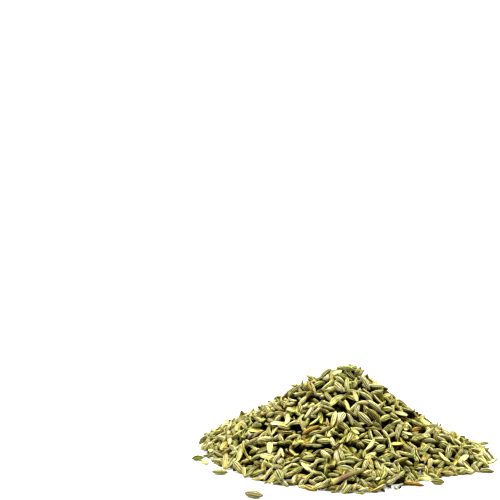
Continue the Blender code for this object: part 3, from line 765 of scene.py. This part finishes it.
def linear(colour, value=1.0):
    """Linear colour of an 8-bit one."""
    shares = [channel / 255.0 for channel in colour]
    straight = [s / 12.92 if s <= 0.04045 else ((s + 0.055) / 1.055) ** 2.4 for s in shares]
    return tuple(value * channel for channel in straight) + (1.0,)


NOISE_BAND = (0.3, 0.7)


class Paint:
    """One material, with short calls for the nodes that it needs."""

    def __init__(self, name):
        self.material = bpy.data.materials.new(name)
        self.material.use_nodes = True
        self.nodes = self.material.node_tree.nodes
        self.shader = self.nodes["Principled BSDF"]

    def node(self, kind, **inputs):
        """New node whose inputs are fed by name, with _ for a space."""
        node = self.nodes.new(kind)
        for name, value in inputs.items():
            self.feed(node.inputs[name.replace("_", " ")], value)
        return node

    def feed(self, socket, value):
        """Link a socket, or set it to a plain value."""
        if isinstance(value, bpy.types.NodeSocket):
            self.material.node_tree.links.new(value, socket)
        else:
            socket.default_value = value

    def coat(self, name, value):
        """Feed one input of the surface itself."""
        self.feed(self.shader.inputs[name], value)

    def attribute(self, name, output="Fac"):
        node = self.nodes.new("ShaderNodeAttribute")
        node.attribute_name = name
        return node.outputs[output]

    def mix(self, factor, first, second, blend="MIX"):
        """Colour between two others; each is a socket or a plain colour."""
        node = self.nodes.new("ShaderNodeMix")
        node.data_type = "RGBA"
        node.blend_type = blend
        for name, value in (("Factor", factor), ("A", first), ("B", second)):
            self.feed(self.enabled(node.inputs, name), value)
        return self.enabled(node.outputs, "Result")

    def enabled(self, sockets, name):
        """The one socket of this name that is in use."""
        return next(socket for socket in sockets if socket.name == name and socket.enabled)

    def noise(self, vector, scale, detail=2.0, roughness=0.5):
        values = {"Scale": scale, "Detail": detail, "Roughness": roughness}
        return self.node("ShaderNodeTexNoise", Vector=vector, **values).outputs["Fac"]

    def stretch(self, vector, scale):
        return self.node("ShaderNodeMapping", Vector=vector, Scale=scale).outputs["Vector"]

    def span(self, value, low, high, to_low=0.0, to_high=1.0):
        """The value moved from one range to another and held inside it."""
        ends = {"From_Min": low, "From_Max": high, "To_Min": to_low, "To_Max": to_high}
        return self.node("ShaderNodeMapRange", Value=value, **ends).outputs["Result"]

    def from_noise(self, noise, to_low, to_high):
        """The usual range of a noise moved to another range."""
        return self.span(noise, *NOISE_BAND, to_low, to_high)

    def math(self, operation, first, second):
        node = self.nodes.new("ShaderNodeMath")
        node.operation = operation
        self.feed(node.inputs[0], first)
        self.feed(node.inputs[1], second)
        return node.outputs[0]

    def shade(self, colour, saturation, value):
        values = {"Color": colour, "Saturation": saturation, "Value": value}
        return self.node("ShaderNodeHueSaturation", **values).outputs["Color"]

    def bump(self, height, strength, distance):
        node = self.node("ShaderNodeBump", Height=height, Strength=strength, Distance=distance)
        self.coat("Normal", node.outputs["Normal"])


# The tones below are as they look in full light; the coat's own colour is this share of them
COAT_VALUE = 0.50
FURROW_VALUE = 0.27

# Two ends of each tone; a seed's own tint lies between them
Palette = namedtuple("Palette", "furrow rib hollow rim tip")
PALETTES = {
    "straw": Palette(
        ((118, 105, 2), (144, 130, 10)), ((226, 220, 170), (240, 235, 191)),
        ((132, 119, 36), (158, 145, 56)), ((224, 216, 164), (238, 231, 184)), (88, 66, 4),
    ),
    "green": Palette(
        ((90, 87, 1), (116, 111, 4)), ((211, 210, 147), (227, 226, 168)),
        ((100, 95, 26), (128, 121, 36)), ((212, 210, 146), (227, 225, 166)), (58, 54, 2),
    ),
    "olive": Palette(
        ((76, 65, 1), (102, 90, 4)), ((188, 180, 116), (211, 203, 141)),
        ((86, 73, 18), (112, 97, 28)), ((189, 179, 116), (211, 201, 140)), (50, 38, 2),
    ),
    "tan": Palette(
        ((118, 94, 6), (142, 118, 16)), ((217, 204, 144), (232, 221, 166)),
        ((128, 108, 40), (150, 131, 56)), ((217, 204, 144), (232, 221, 164)), (76, 50, 6),
    ),
    "brown": Palette(
        ((108, 74, 10), (128, 90, 20)), ((192, 156, 78), (212, 182, 108)),
        ((110, 78, 14), (132, 98, 28)), ((194, 160, 84), (214, 184, 110)), (56, 32, 6),
    ),
    "dark": Palette(
        ((48, 50, 2), (62, 62, 4)), ((128, 130, 56), (148, 150, 76)),
        ((54, 56, 4), (70, 70, 8)), ((130, 132, 60), (150, 152, 78)), (30, 28, 2),
    ),
    # Painted shade: a darker copy of the seed tones, for the buried seeds that show only in the gaps
    "deep": Palette(
        ((38, 30, 1), (56, 46, 2)), ((104, 92, 24), (130, 116, 42)),
        ((44, 36, 2), (62, 52, 4)), ((106, 94, 28), (132, 118, 44)), (26, 18, 1),
    ),
    "dust": Palette(
        ((160, 148, 88), (170, 158, 98)), ((196, 189, 148), (206, 198, 160)),
        ((150, 138, 76), (162, 150, 86)), ((196, 189, 148), (206, 197, 158)), (84, 66, 20),
    ),
}
WHOLE_SHARES = (("straw", 0.38), ("green", 0.38), ("olive", 0.24))
SPLIT_SHARES = (("straw", 0.40), ("green", 0.38), ("tan", 0.22))
# Painted shade between the seeds: a yellower tint that is full halfway down, then a dark tint at full
# depth
SHADE_TINT = (1.0, 0.97, 0.52, 1.0)
GAP_SHADE_TINT = (0.30, 0.26, 0.12, 1.0)
MATT_SPECULAR = 0.0
STREAK_SHIFT = 0.22
LINE_EDGE = 0.55
BLOTCH_BAND = (0.52, 0.72)
BLOTCH_MOST = 0.5
TIP_SHARES = (0.15, 0.85)
SEED_VALUES = (0.78, 1.08)
CRACKLE_VALUES = (0.86, 1.10)
SATURATIONS = (1.12, 0.90)
SHADE_FULL = 0.50
ROUGHNESSES = (0.52, 0.72)


def tinted(paint, share, ends, value=COAT_VALUE):
    """Colour between the two ends of a tone."""
    return paint.mix(share, linear(ends[0], value), linear(ends[1], value))


def ribbed_coat(paint, palette, share, streak):
    """Pale ribs over darker furrows; on the inner face a hollow with a pale rim and midline."""
    shift = paint.from_noise(streak, -STREAK_SHIFT, STREAK_SHIFT)
    line = paint.span(paint.math("ADD", paint.attribute("line"), shift), 0.0, LINE_EDGE)
    furrow = tinted(paint, share, palette.furrow, FURROW_VALUE)
    back = paint.mix(line, furrow, tinted(paint, share, palette.rib))
    inner = paint.mix(line, tinted(paint, share, palette.hollow), tinted(paint, share, palette.rim))
    return paint.mix(paint.attribute("face"), back, inner)


def seed_material(name, palette):
    """Dry ribbed seed coat with blotches and brownish tips, with painted shade between the seeds."""
    paint = Paint(name)
    tint = paint.node("ShaderNodeSeparateXYZ", Vector=paint.attribute("tint", "Vector")).outputs
    grain = paint.attribute("grain", "Vector")
    streak = paint.noise(paint.stretch(grain, (5.0, 5.0, 0.8)), 1.0, 2.0)
    crackle = paint.noise(grain, 4.5, 3.0, 0.6)
    blotch = paint.noise(paint.stretch(grain, (0.5, 0.5, 0.55)), 1.0, 1.0)
    colour = ribbed_coat(paint, palette, tint["X"], streak)
    blotched = paint.span(blotch, *BLOTCH_BAND, 0.0, BLOTCH_MOST)
    colour = paint.mix(blotched, colour, tinted(paint, tint["X"], palette.furrow))
    tipped = paint.span(tint["Z"], 0.2, 1.0, *TIP_SHARES)
    tipped = paint.math("MULTIPLY", paint.attribute("tip"), tipped)
    colour = paint.mix(tipped, colour, linear(palette.tip, COAT_VALUE))
    value = paint.span(tint["Y"], 0.0, 1.0, *SEED_VALUES)
    value = paint.math("MULTIPLY", value, paint.from_noise(crackle, *CRACKLE_VALUES))
    colour = paint.shade(colour, paint.span(tint["Z"], 0.0, 1.0, *SATURATIONS), value)
    # Painted shade: the lower parts of seeds in the gaps are tinted yellower, then darker, by their
    # depth below the heap's top
    deep = paint.attribute("deep")
    colour = paint.mix(paint.span(deep, 0.0, SHADE_FULL), colour, SHADE_TINT, "MULTIPLY")
    colour = paint.mix(deep, colour, GAP_SHADE_TINT, "MULTIPLY")
    paint.coat("Base Color", colour)
    paint.coat("Specular IOR Level", MATT_SPECULAR)
    paint.coat("Roughness", paint.from_noise(crackle, *ROUGHNESSES))
    relief = paint.math("ADD", streak, paint.math("MULTIPLY", crackle, 0.7))
    paint.bump(relief, 0.35, 0.06 * MM)
    return paint.material


STALK_TONES = ((180, 172, 88), (120, 90, 50), (122, 112, 52))
STALK_LEFT_END = (0.05, 0.26)
STALK_RIGHT_END = (0.55, 0.85)


def stalk_material():
    """Woody stalk: green-yellow at the left end, reddish brown in the middle, olive further on."""
    paint = Paint("stalk_wood")
    grain = paint.attribute("grain", "Vector")
    streak = paint.noise(paint.stretch(grain, (0.35, 4.0, 4.0)), 1.0, 3.0, 0.6)
    blotch = paint.noise(grain, 0.9, 2.0)
    place = paint.math("ADD", paint.attribute("tip"), paint.from_noise(blotch, -0.08, 0.08))
    left, middle, right = (linear(tone, COAT_VALUE) for tone in STALK_TONES)
    colour = paint.mix(paint.span(place, *STALK_LEFT_END), left, middle)
    colour = paint.mix(paint.span(place, *STALK_RIGHT_END), colour, right)
    light = paint.shade(colour, 0.85, 1.5)
    colour = paint.mix(paint.math("MULTIPLY", paint.attribute("line"), 0.35), colour, light)
    colour = paint.shade(colour, 1.0, paint.from_noise(streak, 0.62, 1.35))
    paint.coat("Base Color", colour)
    paint.coat("Roughness", paint.from_noise(streak, 0.55, 0.8))
    paint.bump(streak, 0.5, 0.08 * MM)
    return paint.material


# Painted shade: the dark tones of the body under the seeds
CORE_SHADE_TONES = ((40, 34, 12), (86, 76, 34))
CORE_SHADE_SCALE = 260.0


def core_material():
    """Painted shade: dark tones on the body under the seeds, which shows only in the gaps between them.
    """
    paint = Paint("core_painted_shade")
    place = paint.nodes.new("ShaderNodeNewGeometry").outputs["Position"]
    shade_mottle = paint.noise(place, CORE_SHADE_SCALE, 3.0, 0.6)
    colour = paint.mix(paint.span(shade_mottle, 0.35, 0.65), *(linear(tone) for tone in CORE_SHADE_TONES))
    paint.coat("Base Color", colour)
    paint.coat("Roughness", 0.9)
    paint.bump(shade_mottle, 0.6, 0.5 * MM)
    return paint.material


# ---- pieces

def show(mesh, material, node):
    """Put a finished mesh in the scene, on the part's body, in place of the node's solid."""
    thing = bpy.data.objects.new(mesh.name, mesh)
    mesh.materials.append(material)
    bpy.context.scene.collection.objects.link(thing)
    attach(thing, BODY)
    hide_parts(node)


def draw_tone(rng, split):
    """Tone of one seed, by chance."""
    shares = SPLIT_SHARES if split else WHOLE_SHARES
    edges = np.cumsum([share for _, share in shares])
    return shares[min(int(np.searchsorted(edges, rng.random())), len(shares) - 1)][0]


def kind_name(split, tone):
    """Name of the piece for seeds of one kind; brown ones, whole or split, share a piece."""
    return ("split_" if split or tone == "brown" else "whole_") + tone


def nearest_bare(seeds, bareness, x, y):
    """Number of the bare seed nearest to a place of the layout."""
    gaps = [math.hypot(seed.x - x * MM, seed.y - y * MM) + (bare < BARE_ENOUGH)
            for seed, bare in zip(seeds, bareness)]
    return int(np.argmin(gaps))


def sort_seeds(seeds, bareness, rng):
    """Seeds by piece: those that show by kind, and the buried ones by themselves, in tones darkened as
    painted shade.
    """
    tones = [draw_tone(rng, seed.split) for seed in seeds]
    for x, y, tone in SPOTS:
        tones[nearest_bare(seeds, bareness, x, y)] = tone
    pieces = {}
    for seed, bare, tone in zip(seeds, bareness, tones):
        # Buried seeds get the darker tones that paint their shade
        name = kind_name(seed.split, tone) if bare > SHOWING else "under_deep"
        pieces.setdefault(name, []).append(seed)
    return pieces


CORE_SECTORS = 60
CORE_RINGS = 14
CORE_EDGE = 1.5 * MM
CORE_REACH = 66.0 * MM
CORE_STEP = 0.25 * MM


def core_mesh(field):
    """The body under the loose seeds: the heap's form, lowered by the shell's depth."""
    reach = np.arange(0.0, CORE_REACH, CORE_STEP)
    shares = np.minimum(np.arange(1, CORE_RINGS + 2) / CORE_RINGS, 1.0)
    rings = np.zeros((CORE_RINGS + 1, CORE_SECTORS, 3))
    for sector in range(CORE_SECTORS):
        turn = 2.0 * math.pi * sector / CORE_SECTORS
        x = PEAK_X + reach * math.cos(turn)
        y = PEAK_Y + reach * math.sin(turn)
        height = field.target[field.cell(x, y)] - SHELL_DEPTH
        edge = reach[height > CORE_EDGE].max()
        # Sectors are filled backwards, so that the faces look outwards
        for axis, values in enumerate((x, y, height)):
            rings[:, -sector, axis] = np.interp(edge * shares, reach, values)
    rings[-1, :, 2] = FLOOR_GAP
    ends = [(PEAK_X, PEAK_Y, PEAK_HEIGHT - SHELL_DEPTH), (PEAK_X, PEAK_Y, FLOOR_GAP)]
    points = np.concatenate([rings.reshape(-1, 3), ends]) - np.array(MIDDLE)
    (quads, caps), _ = skin(CORE_RINGS + 1, CORE_SECTORS)
    mesh = bpy.data.meshes.new("heap_core")
    mesh.from_pydata(points.tolist(), [], quads.tolist() + caps.tolist())
    mesh.polygons.foreach_set("use_smooth", [True] * len(mesh.polygons))
    mesh.validate()
    return mesh


THIN_BITS = 14
THIN_LENGTHS = (3.0 * MM, 6.5 * MM)
THIN_RADII = (0.16 * MM, 0.30 * MM)
THIN_BOWS = (0.1 * MM, 0.5 * MM)
THIN_EDGE = 2.0 * MM
THIN_PLACES = ((22.8, -19.2, 10.0), (-18.0, 8.0, 60.0), (27.0, 2.0, 100.0))


def thin_bits(field, rng):
    """Thin bits of seed stalk that lie here and there on the heap."""
    cells_i, cells_j = np.where(field.target > THIN_EDGE)
    picks = rng.integers(0, len(cells_i), THIN_BITS)
    spots = [(field.xs[cells_i[k]], field.ys[cells_j[k]], rng.uniform(0.0, math.pi)) for k in picks]
    spots += [(x * MM, y * MM, math.radians(heading)) for x, y, heading in THIN_PLACES]
    rods = []
    for x, y, yaw in spots:
        length = rng.uniform(*THIN_LENGTHS)
        radius = rng.uniform(*THIN_RADII)
        heights, slopes = rest(field, x, y, np.array([yaw]), length / 2, radius, radius)
        place = Matrix.Translation((x, y, float(heights[0])))
        place @= Matrix.Rotation(yaw, 4, "Z") @ Matrix.Rotation(-math.atan(float(slopes[0])), 4, "Y")
        bow = rng.uniform(*THIN_BOWS)
        rods.append(Rod(place, length, radius, 0.3, bow, sides=8, rings=7, fibres=4, ragged=0.05 * MM))
    return rods


def build_heap(field, seeds, bareness, stalk_place, materials):
    """Pieces that stand for the heap's node."""
    rng = np.random.default_rng(LOOK_RNG)
    surface = smooth(field.height)
    pieces = sort_seeds(seeds, bareness, rng)
    placed = [lay_extra(field, extra) for extra in EXTRAS]
    for name, group in pieces.items():
        pieces[name] = [seed for seed in group
                        if clear_of_stalk(seed, stalk_place) and not gives_way(seed, placed)]
    for seed, tone in zip(placed, EXTRA_TONES):
        pieces.setdefault(kind_name(seed.split, tone), []).append(seed)
    for name in sorted(pieces):
        group = pieces[name]
        cut = PLAIN if name.startswith("under") else FINE
        mesh = seed_batch(group, cut, rng, field, surface).mesh(name)
        show(mesh, materials[name.split("_")[1]], "seed_heap")
    show(rod_batch(thin_bits(field, rng), rng).mesh("thin_bits"), materials["straw"], "seed_heap")
    show(core_mesh(field), core_material(), "seed_heap")


def build_stalk(stalk_place):
    """The detailed stalk bit."""
    rng = np.random.default_rng(STALK_RNG)
    rod = Rod(
        stalk_place, STALK_LENGTH, STALK_RADIUS, STALK_TAPER, STALK_BOW,
        sides=30, rings=36, fibres=6, ragged=0.16 * MM,
    )
    show(rod_batch([rod], rng).mesh("stalk"), stalk_material(), "stalk_bit")


def build_strays(materials):
    """The seeds that lie apart, each in place of its own node."""
    bare = Field()
    bare.height[:] = 0.0
    for number, (extra, tone) in enumerate(zip(STRAYS, STRAY_TONES), start=1):
        rng = np.random.default_rng(STRAY_RNG + number)
        batch = seed_batch([lay_extra(bare, extra)], FINE, rng, bare, bare.height)
        batch.set_down(FLOOR_GAP)
        mesh = batch.mesh(f"stray_{number}_{kind_name(extra.split, tone)}")
        show(mesh, materials[tone], f"stray_seed_{number}")


# ---- floor, lights and camera

FLOOR_REACH = 15.0
FLOOR_TONE = (0.46, 0.46, 0.46)
GLOW_REACH = (0.30, 1.05)
GLOW_LEVELS = (0.26, 0.92)
SKY_STRENGTH = 0.15
CAMERA_AWAY = 0.65
CAMERA_UP = math.radians(17.0)
CAMERA_PITCH = math.radians(9.979)
CAMERA_YAW = math.radians(3.509)
CAMERA_LENS = 117.0
LAMP_AIM = Vector((0.0, 0.0, 10.0 * MM))
LAMP_SIZE = 0.16
Lamp = namedtuple("Lamp", "place power colour")
LAMPS = (
    Lamp((0.04, 0.12, 0.66), 8.4, (1.0, 1.0, 0.97)),
    Lamp((-0.58, -0.16, 0.44), 4.5, (1.0, 1.0, 0.96)),
    Lamp((0.58, -0.16, 0.44), 4.5, (1.0, 1.0, 0.96)),
    Lamp((-0.16, -0.46, 0.62), 4.6, (1.0, 1.0, 0.98)),
)


def build_floor():
    """Large pale floor.  Its glow grows with the distance, as no lamp reaches the far part."""
    bpy.ops.mesh.primitive_circle_add(vertices=64, radius=FLOOR_REACH, fill_type="NGON")
    floor = bpy.context.object
    floor.name = "floor"
    paint = Paint("floor_white")
    paint.coat("Base Color", (*FLOOR_TONE, 1.0))
    paint.coat("Roughness", 0.6)
    paint.coat("Emission Color", (1.0, 1.0, 1.0, 1.0))
    place = paint.nodes.new("ShaderNodeNewGeometry").outputs["Position"]
    away = paint.node("ShaderNodeVectorMath", Vector=place)
    away.operation = "LENGTH"
    glow = paint.span(away.outputs["Value"], *GLOW_REACH, *GLOW_LEVELS)
    paint.coat("Emission Strength", glow)
    floor.data.materials.append(paint.material)


def build_lights():
    """Soft boxes and a pale sky."""
    for number, lamp in enumerate(LAMPS):
        light = bpy.data.lights.new(f"soft_box_{number}", "AREA")
        light.shape = "SQUARE"
        light.size = LAMP_SIZE
        light.energy = lamp.power
        light.color = lamp.colour
        thing = bpy.data.objects.new(light.name, light)
        thing.location = lamp.place
        aim = Vector(lamp.place) - LAMP_AIM
        thing.rotation_euler = aim.to_track_quat("Z", "Y").to_euler()
        bpy.context.scene.collection.objects.link(thing)
    world = bpy.data.worlds.new("studio")
    bpy.context.scene.world = world
    world.use_nodes = True
    sky = world.node_tree.nodes["Background"]
    sky.inputs["Color"].default_value = (1.0, 1.0, 1.0, 1.0)
    sky.inputs["Strength"].default_value = SKY_STRENGTH


def build_camera():
    """The photo's view: a little above the surface, the heap low in the frame."""
    data = bpy.data.cameras.new("camera")
    data.lens = CAMERA_LENS
    data.clip_start = 0.01
    camera = bpy.data.objects.new("camera", data)
    away = Vector((0.0, -math.cos(CAMERA_UP), math.sin(CAMERA_UP))) * CAMERA_AWAY
    camera.location = away - MIDDLE
    camera.rotation_euler = (math.pi / 2 - CAMERA_PITCH, 0.0, CAMERA_YAW)
    bpy.context.scene.collection.objects.link(camera)
    bpy.context.scene.camera = camera


def build():
    """Lay the seeds and dress everything."""
    bpy.context.scene.view_settings.view_transform = "Standard"
    bpy.context.scene.view_settings.look = "High Contrast"
    field = Field()
    seeds, bareness = lay_seeds(field)
    stalk_place = stalk_placement(field)
    materials = {tone: seed_material(f"seed_{tone}", palette) for tone, palette in PALETTES.items()}
    build_heap(field, seeds, bareness, stalk_place, materials)
    build_stalk(stalk_place)
    build_strays(materials)
    build_floor()
    build_lights()
    build_camera()


build()
